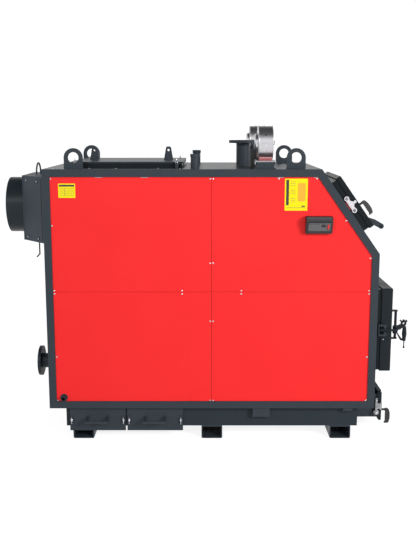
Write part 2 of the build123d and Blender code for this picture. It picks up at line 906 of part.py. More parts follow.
def return_pipe():
    return flanged_pipe(
        (x_rear, 0, return_pipe_z), (x_rear - return_pipe_length, 0, return_pipe_z),
        return_pipe_radius, return_pipe_wall,
        return_flange_radius, return_flange_thickness, return_bolt_circle, return_bolt_count,
    )


def flow_pipe():
    return flanged_pipe(
        (flow_pipe_x, 0, z_top), (flow_pipe_x, 0, z_top + flow_pipe_height),
        flow_pipe_radius, flow_pipe_wall,
        flow_flange_radius, flow_flange_thickness, flow_bolt_circle, flow_bolt_count,
    )


def safety_sockets():
    sockets = []
    for sign in (-1, 1):
        foot = (socket_x, sign * socket_y, z_top)
        top = (socket_x, sign * socket_y, z_top + socket_height)
        collar = (socket_x, sign * socket_y, z_top + socket_height - socket_collar_height)
        body = rod(foot, top, socket_radius) + rod(collar, top, socket_collar_radius)
        sockets.append(body - rod(foot, top, socket_radius - socket_wall))
    return sockets


def drain_stub():
    """The drain pipe, with a thick collar where it passes the near panel."""
    start, end = (drain_x, -y_inner, drain_z), (drain_x, y_near - drain_reach, drain_z)
    collar = rod(start, (drain_x, y_near + panel_recess - drain_collar_reach, drain_z), drain_collar_radius)
    return rod(start, end, drain_radius) + collar - rod(start, end, drain_radius - drain_wall)


# Fittings on the top

def lifting_lug(x, sign):
    radius = lug_width / 2
    y = sign * lug_row_y
    y0, y1 = y - lug_thickness / 2, y + lug_thickness / 2
    z = z_top + lug_height - radius
    body = block(x - radius, x + radius, y0, y1, z_top, z) + rod((x, y0, z), (x, y1, z), radius)
    return body - rod((x, y0 - 1, z), (x, y1 + 1, z), lug_hole_radius)


def lifting_lugs():
    rows = (x_rear + lug_rear_inset, x_front - lug_front_inset)
    return [lifting_lug(x, sign) for x in rows for sign in (-1, 1)]


hatch_lid_low = z_top + hatch_seat_height
hatch_lid_high = hatch_lid_low + hatch_lid_thickness


def hatch_seat():
    half_x, half_y = hatch_length / 2 - hatch_end_overhang, hatch_width / 2 - hatch_side_overhang
    return block(hatch_x - half_x, hatch_x + half_x, -half_y, half_y, z_top, hatch_lid_low)


def hatch_lid():
    """The lid, with its two ends turned down beyond the seat."""
    half_x, half_y = hatch_length / 2, hatch_width / 2
    lid = block(hatch_x - half_x, hatch_x + half_x, -half_y, half_y, hatch_lid_low, hatch_lid_high)
    for sign in (-1, 1):
        x0, x1 = sorted((hatch_x + sign * half_x, hatch_x + sign * (half_x - hatch_lid_sheet)))
        lid += block(x0, x1, -half_y, half_y, hatch_lid_high - hatch_lid_lip, hatch_lid_low)
    return lid


def hatch_ears():
    """Two tapered ears on the lid's middle line, to lift it by."""
    ears = []
    foot, tip = hatch_ear_foot / 2, hatch_ear_tip / 2
    top = hatch_lid_high + hatch_ear_height
    hole_z = top - tip - hatch_ear_hole
    half = hatch_ear_thickness / 2
    for sign in (-1, 1):
        x = hatch_x + sign * (hatch_length / 2 - hatch_ear_inset)
        outline = [(x - foot, hatch_lid_high), (x + foot, hatch_lid_high), (x + tip, top), (x - tip, top)]
        ear = side_plate(outline, -half, half)
        ear = fillet(ear.edges().filter_by(Axis.Y).sort_by(Axis.Z)[-2:], tip * 0.7)
        ears.append(ear - rod((x, -half - 1, hole_z), (x, half + 1, hole_z), hatch_ear_hole))
    return ears


# Fans. Each one is given by the X of its middle and the sign of its row.

fans = [(x_front - fan_near_inset, -1), (x_front - fan_far_inset, 1)]
fan_foot_z = z_top + fan_pedestal_height


def fan_pedestal(x, sign):
    """The flared pedestal on the casing's top."""
    y = sign * fan_row_y
    low = Pos(x, y, z_top) * Rectangle(fan_pedestal_length + 2 * fan_pedestal_flare, fan_pedestal_depth)
    high = Pos(x, y, z_top + fan_pedestal_flare) * Rectangle(fan_pedestal_length, fan_pedestal_depth)
    half_x, half_y = fan_pedestal_length / 2, fan_pedestal_depth / 2
    upper = block(x - half_x, x + half_x, y - half_y, y + half_y, z_top + fan_pedestal_flare, fan_foot_z)
    return loft([low, high]) + upper


def fan_plate(x, sign):
    """The mounting plate on the pedestal, with its two ends bent down."""
    y = sign * fan_row_y
    half_x, half_y, t = fan_plate_length / 2, fan_plate_depth / 2, fan_plate_thickness
    low, high = fan_foot_z, fan_foot_z + t
    rim = fan_plate_lip
    section = [
        (x - half_x, low - rim), (x - half_x, high), (x + half_x, high), (x + half_x, low - rim),
        (x + half_x - t / 2, low - rim), (x + half_x - t / 2, low),
        (x - half_x + t / 2, low), (x - half_x + t / 2, low - rim),
    ]
    return side_plate(section, y - half_y, y + half_y)


def fan_housing(x, sign):
    """The round housing and the neck that stands on the mounting plate."""
    y, z = sign * fan_row_y, z_top + fan_axis_height
    half = fan_width / 2
    body = rod((x - half, y, z), (x + half, y, z), fan_radius)
    half_x, half_y = fan_neck_length / 2, fan_neck_depth / 2
    return body + block(x - half_x, x + half_x, y - half_y, y + half_y, fan_foot_z + fan_plate_thickness, z)


def fan_motor(x, sign):
    """The motor's round cover on the rear face of the fan."""
    place = Plane(origin=(x - fan_width / 2, sign * fan_row_y, z_top + fan_axis_height), z_dir=(-1, 0, 0))
    cover = Cylinder(fan_motor_radius, fan_motor_length, align=LOW)
    return place * chamfer(cover.faces().sort_by(Axis.Z)[-1].edges(), fan_motor_bevel)


def fan_stub(x, sign):
    """The shaft boss on the front face of the fan."""
    x0, y, z = x + fan_width / 2, sign * fan_row_y, z_top + fan_axis_height
    return rod((x0, y, z), (x0 + fan_stub_length, y, z), fan_stub_radius)


def fan_box(x, sign):
    """The terminal box that stands behind the motor."""
    x1 = x - fan_width / 2 - 3
    y1 = sign * (fan_row_y - fan_plate_depth / 2 - fan_box_gap)
    y0, y1 = sorted((y1, y1 - sign * fan_box_depth))
    return block(x1 - fan_box_length, x1, y0, y1, z_top, z_top + fan_box_height)


# Controller and clean-out covers

def controller():
    """A box on the near panel that is deepest near its top."""
    profile = Polyline(*controller_profile(), close=True)
    start = Plane.YZ.offset(controller_x - controller_width / 2)
    body = extrude(start * make_face(profile), amount=controller_width)
    return chamfer(body.edges().group_by(Axis.Y)[0], controller_corner / 3)


def controller_profile():
    """YZ points: panel side below, foot, brow, upper edge, panel side above."""
    y1 = y_near + panel_recess
    z0, z1 = controller_z - controller_height / 2, controller_z + controller_height / 2
    foot, brow = (y1 - controller_foot_depth, z0), (y1 - controller_depth, z1 - controller_bevel)
    return [(y1, z0), foot, brow, (y1 - controller_depth + controller_bevel, z1), (y1, z1)]


def controller_face():
    """The thin face plate on the leaning front."""
    foot, brow = (Vector(0, *point) for point in controller_profile()[1:3])
    up = (brow - foot).normalized()
    middle = Vector(controller_x, 0, 0) + (foot + brow) / 2
    place = Plane(origin=middle, x_dir=(1, 0, 0), z_dir=up.cross(Vector(-1, 0, 0)))
    return place * Box(controller_face_width, controller_face_height, controller_face_thickness, align=LOW)


cover_face_y = -plinth_y - cover_plate


def cover_spans():
    """The two ends of each clean-out cover."""
    for i in range(2):
        x0 = x_rear + cover_rear_inset + i * (cover_length + cover_near_gap)
        yield x0, x0 + cover_length


def cleanout_covers():
    z1 = z_bottom - joint_gap
    return [block(x0, x1, cover_face_y, -plinth_y, z1 - cover_height, z1) for x0, x1 in cover_spans()]


def cleanout_handles():
    """A handle on each cover: a round bar between two tapered legs."""
    z = z_bottom - cover_handle_drop
    half, leg = cover_handle_length / 2, cover_handle_leg
    root, tip = cover_handle_foot / 2, cover_handle_radius
    y = cover_face_y - cover_handle_reach + cover_handle_radius
    profile = [(cover_face_y, z - root), (y, z - tip), (y, z + tip), (cover_face_y, z + root)]
    handles = []
    for x0, x1 in cover_spans():
        x = (x0 + x1) / 2
        body = rod((x - half, y, z), (x + half, y, z), cover_handle_radius)
        for start in (x - half, x + half - leg):
            body += extrude(Plane.YZ.offset(start) * make_face(Polyline(*profile, close=True)), amount=leg)
        handles.append(body)
    return handles


def base_bracket(x, length, height):
    """A channel-shaped bracket under the casing's near edge."""
    y0 = -plinth_y - base_bracket_depth
    outer = block(x - length / 2, x + length / 2, y0, -plinth_y, z_bottom - height, z_bottom)
    wall = base_bracket_wall
    x0, x1 = x - length / 2 + wall, x + length / 2 - wall
    return outer - block(x0, x1, y0 + wall, -plinth_y + 1, z_bottom - height - 1, z_bottom - wall)


def base_brackets():
    return [
        base_bracket(x_front - middle_bracket_inset, middle_bracket_length, middle_bracket_height),
        base_bracket(x_front - front_bracket_inset, front_bracket_length, front_bracket_height),
    ]


def keep(name, shape):
    """Write one node, which may hold several solids."""
    pieces = shape if isinstance(shape, list) else [shape]
    solids = [solid for piece in pieces for solid in piece.solids()]
    export_step(solids[0] if len(solids) == 1 else Compound(children=solids), f"parts/{name}.step")


nodes = {
    "side_frame_near": side_frame(-1),
    "side_frame_far": side_frame(1),
    "side_panels_near": side_panels(-1),
    "side_panels_far": side_panels(1),
    "top_cover": top_cover(),
    "rear_cover": rear_cover(),
    "front_panel": front_panel(),
    "slope_panel": slope_panel(),
    "heat_exchanger": heat_exchanger(),
    "side_jackets": [side_jacket(-1), side_jacket(1)],
    "roof_jacket": roof_jacket(),
    "front_wall": front_wall(),
    "slope_wall": slope_wall(),
    "grate": grate(),
    "plinth": plinth(),
    "plinth_rails": plinth_rails(),
    "ash_duct": ash_duct(),
    "ash_hood": ash_hood(),
    "skid_rear": skid(-skid_x),
    "skid_middle": skid(0),
    "skid_front": skid(skid_x),
    "fire_door_frame": door_collar(fire),
    "loading_door_frame": door_collar(loading),
    "hinge_brackets": hinge_brackets(),
    "loading_keeper": loading_keeper(),
    "fire_keeper": fire_keeper(),
    "ash_keeper": ash_keeper(),
    "fire_door": door_leaf(fire),
    "fire_door_lining": door_lining(fire),
    "fire_door_hinges": hinge_leaves(fire),
    "fire_door_pull_bar": pull_bar(),
    "fire_latch_lever": fire_latch(),
    "loading_door": door_leaf(loading),
    "loading_door_lining": door_lining(loading),
    "loading_door_hinges": hinge_leaves(loading),
    "loading_door_lug": loading_lug(),
    "loading_latch_lever": latch_lever(loading, loading_lever_up, loading_lever_reach),
    "ash_door": ash_leaf(),
    "ash_door_hinges": hinge_leaves(ash),
    "ash_latch_lever": latch_lever(ash, ash_lever_z - ash_door_z, ash_lever_reach),
    "flue_box": flue_box(),
    "flue_end_plate": flue_end_plate(),
    "flue_pipe": flue_pipe(),
    "flue_loop_handle": flue_loop(),
    "flue_rod": flue_rod(),
    "return_pipe": return_pipe(),
    "flow_pipe": flow_pipe(),
    "safety_sockets": safety_sockets(),
    "drain_stub": drain_stub(),
    "lifting_lugs": lifting_lugs(),
    "hatch_seat": hatch_seat(),
    "hatch_lid": hatch_lid(),
    "hatch_ears": hatch_ears(),
    "fan_pedestals": [fan_pedestal(x, sign) for x, sign in fans],
    "fan_plates": [fan_plate(x, sign) for x, sign in fans],
    "fan_housings": [fan_housing(x, sign) for x, sign in fans],
    "fan_motors": [part(x, sign) for x, sign in fans for part in (fan_motor, fan_stub, fan_box)],
    "controller": [controller(), controller_face()],
    "cleanout_covers": cleanout_covers(),
    "cleanout_handles": cleanout_handles() + base_brackets(),
}

os.makedirs("parts", exist_ok=True)
for name, shape in nodes.items():
    keep(name, shape)
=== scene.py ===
"""Looks for an industrial boiler: finishes, fasteners, labels, seals, camera, floor and light.

The pieces are in millimetres in the CAD frame: X towards the doors, Y away from the camera, Z up.
The floor, the lamps and the camera are in metres in the same frame.
"""

import math

import bmesh
import bpy
from mathutils import Matrix, Vector, noise


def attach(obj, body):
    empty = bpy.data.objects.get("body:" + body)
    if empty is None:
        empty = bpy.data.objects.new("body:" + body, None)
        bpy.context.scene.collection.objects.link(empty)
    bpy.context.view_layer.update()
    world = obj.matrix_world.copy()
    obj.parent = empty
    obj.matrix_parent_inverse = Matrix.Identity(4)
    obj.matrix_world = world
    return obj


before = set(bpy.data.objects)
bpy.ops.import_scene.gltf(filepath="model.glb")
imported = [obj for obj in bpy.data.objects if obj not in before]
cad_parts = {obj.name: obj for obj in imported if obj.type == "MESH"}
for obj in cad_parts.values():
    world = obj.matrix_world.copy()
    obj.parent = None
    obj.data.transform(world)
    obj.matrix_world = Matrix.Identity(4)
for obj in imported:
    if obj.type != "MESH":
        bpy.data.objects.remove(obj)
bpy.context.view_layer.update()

MM = 0.001
SIDES = (-1, 1)
NEARWARD, FRONTWARD, REARWARD, UPWARD = (0, -1, 0), (1, 0, 0), (-1, 0, 0), (0, 0, 1)

# Casing sizes and places that the pieces below are set by
FRONT_X, REAR_X = 1115.0, -1115.0
TOP_Z = 1869.0
PANEL_Y = 507.0
SLOPE_RUN, SLOPE_DROP = 396.0, 560.0
SLOPE_LENGTH = math.hypot(SLOPE_RUN, SLOPE_DROP)
OUT = Vector((SLOPE_DROP, 0, SLOPE_RUN)) / SLOPE_LENGTH
UP = Vector((-SLOPE_RUN, 0, SLOPE_DROP)) / SLOPE_LENGTH
SLOPE_MIDDLE = Vector((FRONT_X - SLOPE_RUN / 2, 0, TOP_Z - SLOPE_DROP / 2))

# Scales of the textures, per metre
TINT_SCALE, CLOUD_SCALE, RIPPLE_SCALE, PEEL_SCALE, WEAR_SCALE = 3.1, 9.0, 38.0, 420.0, 25.0


# Materials. Their colours are linear, and their lengths are in metres.

class Shader:
    """One material and the textures that drive it."""

    def __init__(self, name, colour, roughness, metallic=0.0):
        self.material = bpy.data.materials.new(name)
        self.material.use_nodes = True
        self.tree = self.material.node_tree
        self.principled = self.tree.nodes["Principled BSDF"]
        self.principled.inputs["Base Color"].default_value = (*colour, 1)
        self.principled.inputs["Metallic"].default_value = metallic
        self.principled.inputs["Roughness"].default_value = roughness
        self.colour = colour
        self.coordinates = self.tree.nodes.new("ShaderNodeTexCoord").outputs["Object"]
        self.normal = None

    def set(self, name, value):
        self.principled.inputs[name].default_value = value
        return self

    def noise(self, scale, detail=3.0, stretch=None):
        source = self.coordinates
        if stretch:
            mapping = self.tree.nodes.new("ShaderNodeMapping")
            mapping.inputs["Scale"].default_value = stretch
            self.tree.links.new(source, mapping.inputs["Vector"])
            source = mapping.outputs["Vector"]
        node = self.tree.nodes.new("ShaderNodeTexNoise")
        node.inputs["Scale"].default_value = scale
        node.inputs["Detail"].default_value = detail
        self.tree.links.new(source, node.inputs["Vector"])
        return node.outputs["Fac"]

    def spread(self, value, low, high, start=0.3, end=0.7):
        """Maps the values from start to end onto low to high."""
        node = self.tree.nodes.new("ShaderNodeMapRange")
        limits = (("From Min", start), ("From Max", end), ("To Min", low), ("To Max", high))
        for name, number in limits:
            node.inputs[name].default_value = number
        self.tree.links.new(value, node.inputs["Value"])
        return node.outputs["Result"]

    def tint(self, value, other, start=0.35, end=0.65):
        """Mixes the base colour with another one by a texture."""
        ramp = self.tree.nodes.new("ShaderNodeValToRGB")
        ramp.color_ramp.elements[0].position = start
        ramp.color_ramp.elements[0].color = (*self.colour, 1)
        ramp.color_ramp.elements[1].position = end
        ramp.color_ramp.elements[1].color = (*other, 1)
        self.tree.links.new(value, ramp.inputs["Fac"])
        self.tree.links.new(ramp.outputs["Color"], self.principled.inputs["Base Color"])
        return self

    def paint_reflection_below(self, low, high, other):
        """Paints a reflection low on a piece: blends the base colour into another one from the
        upper height down to the lower.
        """
        split = self.tree.nodes.new("ShaderNodeSeparateXYZ")
        self.tree.links.new(self.coordinates, split.inputs[0])
        mix = self.tree.nodes.new("ShaderNodeMix")
        mix.data_type = "RGBA"
        base = self.principled.inputs["Base Color"]
        self.tree.links.new(base.links[0].from_socket, mix.inputs["A"])
        mix.inputs["B"].default_value = (*other, 1)
        factor = self.spread(split.outputs["Z"], 1.0, 0.0, low, high)
        self.tree.links.new(factor, mix.inputs["Factor"])
        self.tree.links.new(mix.outputs["Result"], base)
        return self

    def rough(self, value, low, high):
        spread = self.spread(value, low, high)
        self.tree.links.new(spread, self.principled.inputs["Roughness"])
        return self

    def bump(self, value, depth):
        """Adds relief on top of any that is there."""
        node = self.tree.nodes.new("ShaderNodeBump")
        node.inputs["Distance"].default_value = depth
        self.tree.links.new(value, node.inputs["Height"])
        if self.normal:
            self.tree.links.new(self.normal, node.inputs["Normal"])
        self.normal = node.outputs["Normal"]
        self.tree.links.new(self.normal, self.principled.inputs["Normal"])
        return self


def paint(name, colour, other, roughness, peel=0.00006, shine=0.2, cloud=0.05):
    """Powder coat: an even colour with a fine orange-peel skin and slight cloudiness."""
    shader = Shader(name, colour, roughness).set("Specular IOR Level", shine)
    shader.tint(shader.noise(TINT_SCALE, 4.0), other)
    shader.rough(shader.noise(CLOUD_SCALE, 4.0), roughness - cloud, roughness + cloud)
    shader.bump(shader.noise(PEEL_SCALE, 2.0), peel)
    return shader.bump(shader.noise(RIPPLE_SCALE, 2.0), peel * 2)


def metal(name, colour, other, roughness, stretch=(1, 1, 1), scale=300.0, depth=0.00002):
    """Bare or plated metal, with a grain that stretch draws out."""
    shader = Shader(name, colour, roughness, 1.0)
    grain = shader.noise(scale, 3.0, stretch)
    shader.tint(grain, other)
    shader.rough(grain, roughness - 0.07, roughness + 0.09)
    return shader.bump(grain, depth)


def plastic(name, colour, other, roughness, grain=900.0, depth=0.00005):
    """Moulded plastic, rubber, film or ink, with a fine grain."""
    shader = Shader(name, colour, roughness)
    texture = shader.noise(grain, 2.0)
    shader.tint(texture, other)
    shader.rough(shader.noise(WEAR_SCALE), roughness - 0.05, roughness + 0.06)
    return shader.bump(texture, depth)


dark = paint("frame_paint", (0.029, 0.0395, 0.050), (0.032, 0.0425, 0.053), 0.42)
plinth_paint = paint("plinth_paint", (0.023, 0.032, 0.041), (0.025, 0.035, 0.044), 0.42,
                     shine=0.12)
door_paint = paint("door_paint", (0.0125, 0.0175, 0.0225), (0.0145, 0.0195, 0.0245), 0.40,
                   shine=0.13)
# Near-black paint. On the hatch seat and on the collector's strips it is painted shade
black_and_shade_paint = paint("black_and_shade_paint", (0.0065, 0.0105, 0.0135), (0.008, 0.012, 0.015), 0.38,
                    shine=0.13)
# Painted light: a lighter, bluer copy of the frame paint, whose lightness stands in for light that
# the lamps don't give the collector
collector_lit_paint = paint("collector_lit_paint", (0.062, 0.077, 0.095), (0.065, 0.081, 0.099), 0.45,
                        shine=0.08)
pipe_paint = paint("pipe_paint", (0.024, 0.033, 0.040), (0.026, 0.035, 0.042), 0.33, shine=0.17)
top_paint = paint("top_paint", (0.034, 0.043, 0.054), (0.037, 0.046, 0.057), 0.36,
                  peel=0.000004, shine=0.15, cloud=0.01)
lid_paint = paint("lid_paint", (0.030, 0.039, 0.050), (0.033, 0.042, 0.053), 0.37,
                  peel=0.000004, shine=0.10, cloud=0.01)
red = paint("panel_paint", (0.94, 0.027, 0.028), (0.96, 0.029, 0.030), 0.38,
            peel=0.00003, shine=0.15, cloud=0.03)
weld = Shader("painted_weld", (0.020, 0.027, 0.035), 0.4)
weld.tint(weld.noise(60.0), (0.026, 0.033, 0.041)).bump(weld.noise(500.0), 0.0003)

steel = metal("boiler_plate", (0.12, 0.105, 0.095), (0.055, 0.045, 0.04), 0.62,
              scale=26.0, depth=0.0004)
zinc = metal("zinc_casting", (0.78, 0.74, 0.77), (0.58, 0.55, 0.58), 0.30,
             scale=120.0, depth=0.0002)
dull_zinc = metal("dull_zinc_casting", (0.40, 0.41, 0.43), (0.20, 0.205, 0.21), 0.34,
                  scale=70.0, depth=0.0003)
plated = metal("plated_fastener", (0.70, 0.70, 0.73), (0.56, 0.57, 0.60), 0.30, scale=700.0)
clip_steel = metal("clip_steel", (0.34, 0.34, 0.36), (0.28, 0.28, 0.30), 0.40, scale=400.0)
spun = metal("spun_cover", (0.66, 0.66, 0.68), (0.55, 0.55, 0.57), 0.27, scale=500.0)
turned_and_reflection = metal("turned_sheet_and_reflection", (0.62, 0.62, 0.64), (0.44, 0.44, 0.46), 0.30,
               stretch=(1, 0.02, 0.02), scale=900.0)
# Painted reflection: the fan housings blend into dark red from 1.968 m down to 1.932 m, standing
# in for the red side panels reflected in the metal
turned_and_reflection.paint_reflection_below(1.932, 1.968, (0.36, 0.10, 0.105))
iron = Shader("grate_casting", (0.045, 0.043, 0.042), 0.7, 0.6)
iron.tint(iron.noise(30.0), (0.11, 0.06, 0.035), 0.5, 0.75).bump(iron.noise(240.0, 4.0), 0.0005)

board = Shader("refractory_board", (0.60, 0.53, 0.42), 0.95)
board.tint(board.noise(14.0, 6.0), (0.42, 0.36, 0.28)).bump(board.noise(160.0, 6.0), 0.0012)
rope = Shader("glass_rope", (0.36, 0.34, 0.31), 0.95)
rope.tint(rope.noise(250.0, 4.0), (0.16, 0.15, 0.14))
rope.bump(rope.noise(420.0, 2.0, (1, 1, 2.5)), 0.0008)

grip = plastic("grip_plastic", (0.020, 0.020, 0.021), (0.028, 0.027, 0.028), 0.42)
ash_grip = plastic("ash_grip_plastic", (0.010, 0.010, 0.011), (0.014, 0.014, 0.015), 0.42)
case = plastic("controller_case", (0.011, 0.012, 0.014), (0.014, 0.015, 0.017), 0.5,
               grain=1400.0, depth=0.00008)
panel_film = plastic("controller_film", (0.108, 0.111, 0.119), (0.120, 0.123, 0.131), 0.36,
                     grain=2200.0, depth=0.00002)
# Painted light: the brow strip is lighter than the case, standing in for light on the case's
# upward-sloping top
brow_lit_strip = plastic("controller_brow_painted_light", (0.076, 0.076, 0.081), (0.083, 0.083, 0.088), 0.42,
                    grain=1800.0, depth=0.00003)
window = plastic("display_window", (0.008, 0.009, 0.010), (0.010, 0.011, 0.012), 0.12,
                 grain=60.0, depth=0.000002)
rocker = plastic("rocker_red", (0.75, 0.018, 0.022), (0.80, 0.024, 0.028), 0.28,
                 grain=300.0, depth=0.00001)
# Painted reflection: a red block in the loading door's keeper stands in for the red side panels
# reflected there
keeper_red_reflection = plastic("painted_red_reflection", (0.50, 0.014, 0.016), (0.42, 0.012, 0.014), 0.6,
                   grain=500.0, depth=0.0001)
rubber = plastic("black_rubber", (0.012, 0.012, 0.013), (0.018, 0.018, 0.019), 0.65,
                 grain=600.0, depth=0.00006)
vinyl = plastic("yellow_vinyl", (0.95, 0.80, 0.010), (0.96, 0.82, 0.012), 0.34,
                grain=90.0, depth=0.00001)
vinyl.set("Specular IOR Level", 0.15)
ink = plastic("dark_ink", (0.022, 0.020, 0.020), (0.030, 0.026, 0.026), 0.4,
              grain=900.0, depth=0.00001)
orange_ink = plastic("orange_ink", (0.90, 0.42, 0.020), (0.92, 0.46, 0.024), 0.38,
                     grain=500.0, depth=0.00001)
grey_ink = plastic("grey_ink", (0.26, 0.23, 0.06), (0.22, 0.20, 0.05), 0.4,
                   grain=700.0, depth=0.00001)

# Finish of each CAD node. Those that aren't named have the frame's dark paint.
NODE_FINISH = {
    red: ["side_panels_near", "side_panels_far"],
    plinth_paint: ["plinth", "plinth_rails"],
    door_paint: ["fire_door", "fire_door_hinges", "ash_door", "ash_door_hinges",
                 "fire_latch_lever", "fire_door_pull_bar", "front_panel", "slope_panel"],
    # The hatch seat has the near-black paint as painted shade: it stands in for the shadow under
    # the lid
    black_and_shade_paint: ["loading_door", "loading_door_frame", "loading_door_hinges",
                  "fire_door_frame", "hatch_seat"],
    collector_lit_paint: ["flue_box", "flue_end_plate"],
    pipe_paint: ["flue_pipe"],
    top_paint: ["top_cover"],
    lid_paint: ["hatch_lid"],
    steel: ["heat_exchanger", "side_jackets", "roof_jacket", "front_wall", "slope_wall"],
    iron: ["grate"],
    board: ["fire_door_lining", "loading_door_lining"],
    zinc: ["loading_keeper"],
    dull_zinc: ["ash_keeper"],
    grip: ["loading_latch_lever"],
    ash_grip: ["ash_latch_lever"],
    turned_and_reflection: ["fan_housings"],
    spun: ["fan_motors"],
    clip_steel: ["fan_plates"],
    case: ["controller"],
}
finish_of = {node: shader for shader, nodes in NODE_FINISH.items() for node in nodes}
for name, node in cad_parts.items():
    node.data.materials.clear()
    node.data.materials.append(finish_of.get(name, dark).material)


# Mesh helpers. A piece is built in millimetres and scaled once.

def at(origin, out=UPWARD, up=None):
    """A placement whose local Z points out, and whose local Y points up where that is given."""
    z = Vector(out).normalized()
    guide = Vector(up) if up else Vector(UPWARD if abs(z.z) < 0.9 else FRONTWARD)
    x = guide.cross(z).normalized()
    y = z.cross(x)
    turn = Matrix((x, y, z)).transposed().to_4x4()
    return Matrix.Translation(Vector(origin)) @ turn


def raised(place, height):
    """The same placement, moved out along its local Z."""
    return place @ Matrix.Translation((0, 0, height))


def on_slope(out, up, y):
    """A point off the sloping front: out from its face, up along it from its middle."""
    spot = SLOPE_MIDDLE + OUT * out + UP * up
    return Vector((spot.x, y, spot.z))


def band(lower, upper, count):
    """The four-sided faces between two rings of count points that start at lower and upper."""
    for i in range(count):
        j = (i + 1) % count
        yield lower + i, lower + j, upper + j, upper + i


class Piece:
    """A mesh under construction, which may use several materials."""

    def __init__(self, name):
        self.name = name
        self.mesh = bmesh.new()
        self.shaders = []

    def faces(self, points, loops, shader, place, smooth):
        if shader not in self.shaders:
            self.shaders.append(shader)
        index = self.shaders.index(shader)
        verts = [self.mesh.verts.new(place @ Vector(p)) for p in points]
        for loop in loops:
            face = self.mesh.faces.new([verts[i] for i in loop])
            face.material_index = index
            face.smooth = smooth

    def lathe(self, profile, shader, place, segments=24, smooth=True, six_sided=()):
        """Turns (radius, height) points about local Z. six_sided names the hexagonal rings."""
        points, loops = [], []
        for k, (radius, height) in enumerate(profile):
            for i in range(segments):
                angle = 2 * math.pi * i / segments
                r = radius
                if k in six_sided:
                    r /= math.cos((angle + math.pi / 6) % (math.pi / 3) - math.pi / 6)
                points.append((r * math.cos(angle), r * math.sin(angle), height))
        last = (len(profile) - 1) * segments
        for start in range(0, last, segments):
            loops.extend(band(start, start + segments, segments))
        loops.append(tuple(reversed(range(segments))))
        loops.append(tuple(range(last, last + segments)))
        self.faces(points, loops, shader, place, smooth)

    def prism(self, outline, depth, shader, place, bevel):
        """An outline in local XY raised along Z, with its upper edge bevelled."""
        middle = sum((Vector((*p, 0)) for p in outline), Vector()) / len(outline)
        points, count = [], len(outline)
        for height, inset in ((0.0, 0.0), (depth - bevel, 0.0), (depth, bevel)):
            for p in outline:
                v = Vector((*p, 0))
                v += (middle - v).normalized() * inset
                points.append((v.x, v.y, height))
        loops = [tuple(reversed(range(count)))]
        loops.extend(band(0, count, count))
        loops.extend(band(count, 2 * count, count))
        loops.append(tuple(range(2 * count, 3 * count)))
        self.faces(points, loops, shader, place, False)

    def sweep(self, path, radius, shader, closed=False, sides=10, wave=0.0, place=Matrix()):
        """A round section along points. wave makes it lumpy, as a weld bead is."""
        path = [Vector(p) for p in path]
        count = len(path)
        points, loops = [], []
        for i, p in enumerate(path):
            before = path[i - 1] if i or closed else p
            after = path[(i + 1) % count] if i < count - 1 or closed else p
            along = (after - before).normalized()
            side = side - along * side.dot(along) if i else along.orthogonal()
            side.normalize()
            other = along.cross(side)
            r = radius * (1 + wave * noise.noise(p * 0.35))
            for k in range(sides):
                angle = 2 * math.pi * k / sides
                points.append(p + (side * math.cos(angle) + other * math.sin(angle)) * r)
        for i in range(count if closed else count - 1):
            loops.extend(band(i * sides, (i + 1) % count * sides, sides))
        if not closed:
            loops.append(tuple(reversed(range(sides))))
            loops.append(tuple(range((count - 1) * sides, count * sides)))
        self.faces(points, loops, shader, place, True)

    def done(self, body="boiler"):
        """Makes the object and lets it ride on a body."""
        bmesh.ops.recalc_face_normals(self.mesh, faces=self.mesh.faces)
        self.mesh.transform(Matrix.Scale(MM, 4))
        data = bpy.data.meshes.new(self.name)
        self.mesh.to_mesh(data)
        self.mesh.free()
        for shader in self.shaders:
            data.materials.append(shader.material)
        thing = bpy.data.objects.new(self.name, data)
        bpy.context.scene.collection.objects.link(thing)
        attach(thing, body)


def rounded(width, height, radius, steps=5, centre=(0, 0)):
    """A rounded rectangle's outline, anticlockwise."""
    points = []
    corners = ((1, 1, 0), (-1, 1, 90), (-1, -1, 180), (1, -1, 270))
    for sx, sy, start in corners:
        cx = centre[0] + sx * (width / 2 - radius)
        cy = centre[1] + sy * (height / 2 - radius)
        for i in range(steps + 1):
            angle = math.radians(start + 90 * i / steps)
            points.append((cx + radius * math.cos(angle), cy + radius * math.sin(angle)))
    return points


def ellipse(width, height, centre, steps=28):
    points = []
    for i in range(steps):
        angle = 2 * math.pi * i / steps
        points.append((centre[0] + width / 2 * math.cos(angle),
                       centre[1] + height / 2 * math.sin(angle)))
    return points


PATH_STEP = 6.0


def line(a, b):
    a, b = Vector(a), Vector(b)
    count = max(2, int((b - a).length / PATH_STEP))
    return [a.lerp(b, i / count) for i in range(count + 1)]


def circle(centre, radius, axis):
    place = at(centre, axis)
    count = max(24, int(2 * math.pi * radius / PATH_STEP))
    points = []
    for i in range(count):
        angle = 2 * math.pi * i / count
        points.append(place @ Vector((radius * math.cos(angle), radius * math.sin(angle), 0)))
    return points


# Fasteners

def pan_screw(piece, place, radius=5.8, shader=plated):
    """A button-head screw with a hexagon socket."""
    height, socket = radius * 0.55, radius * 0.38
    profile = [(radius, 0), (radius, height * 0.25), (radius * 0.93, height * 0.6),
               (radius * 0.74, height * 0.9), (radius * 0.55, height), (socket, height),
               (socket * 0.97, height * 0.35)]
    piece.lathe(profile, shader, place, six_sided=(5, 6))


def hex_head(piece, place, across, shader):
    """A hexagon head with a chamfered top."""
    r, top = across / 2, across * 0.42
    profile = [(r, 0), (r, top - r * 0.12), (r * 0.88, top), (r * 0.3, top)]
    piece.lathe(profile, shader, place, smooth=False, six_sided=(0, 1, 2))


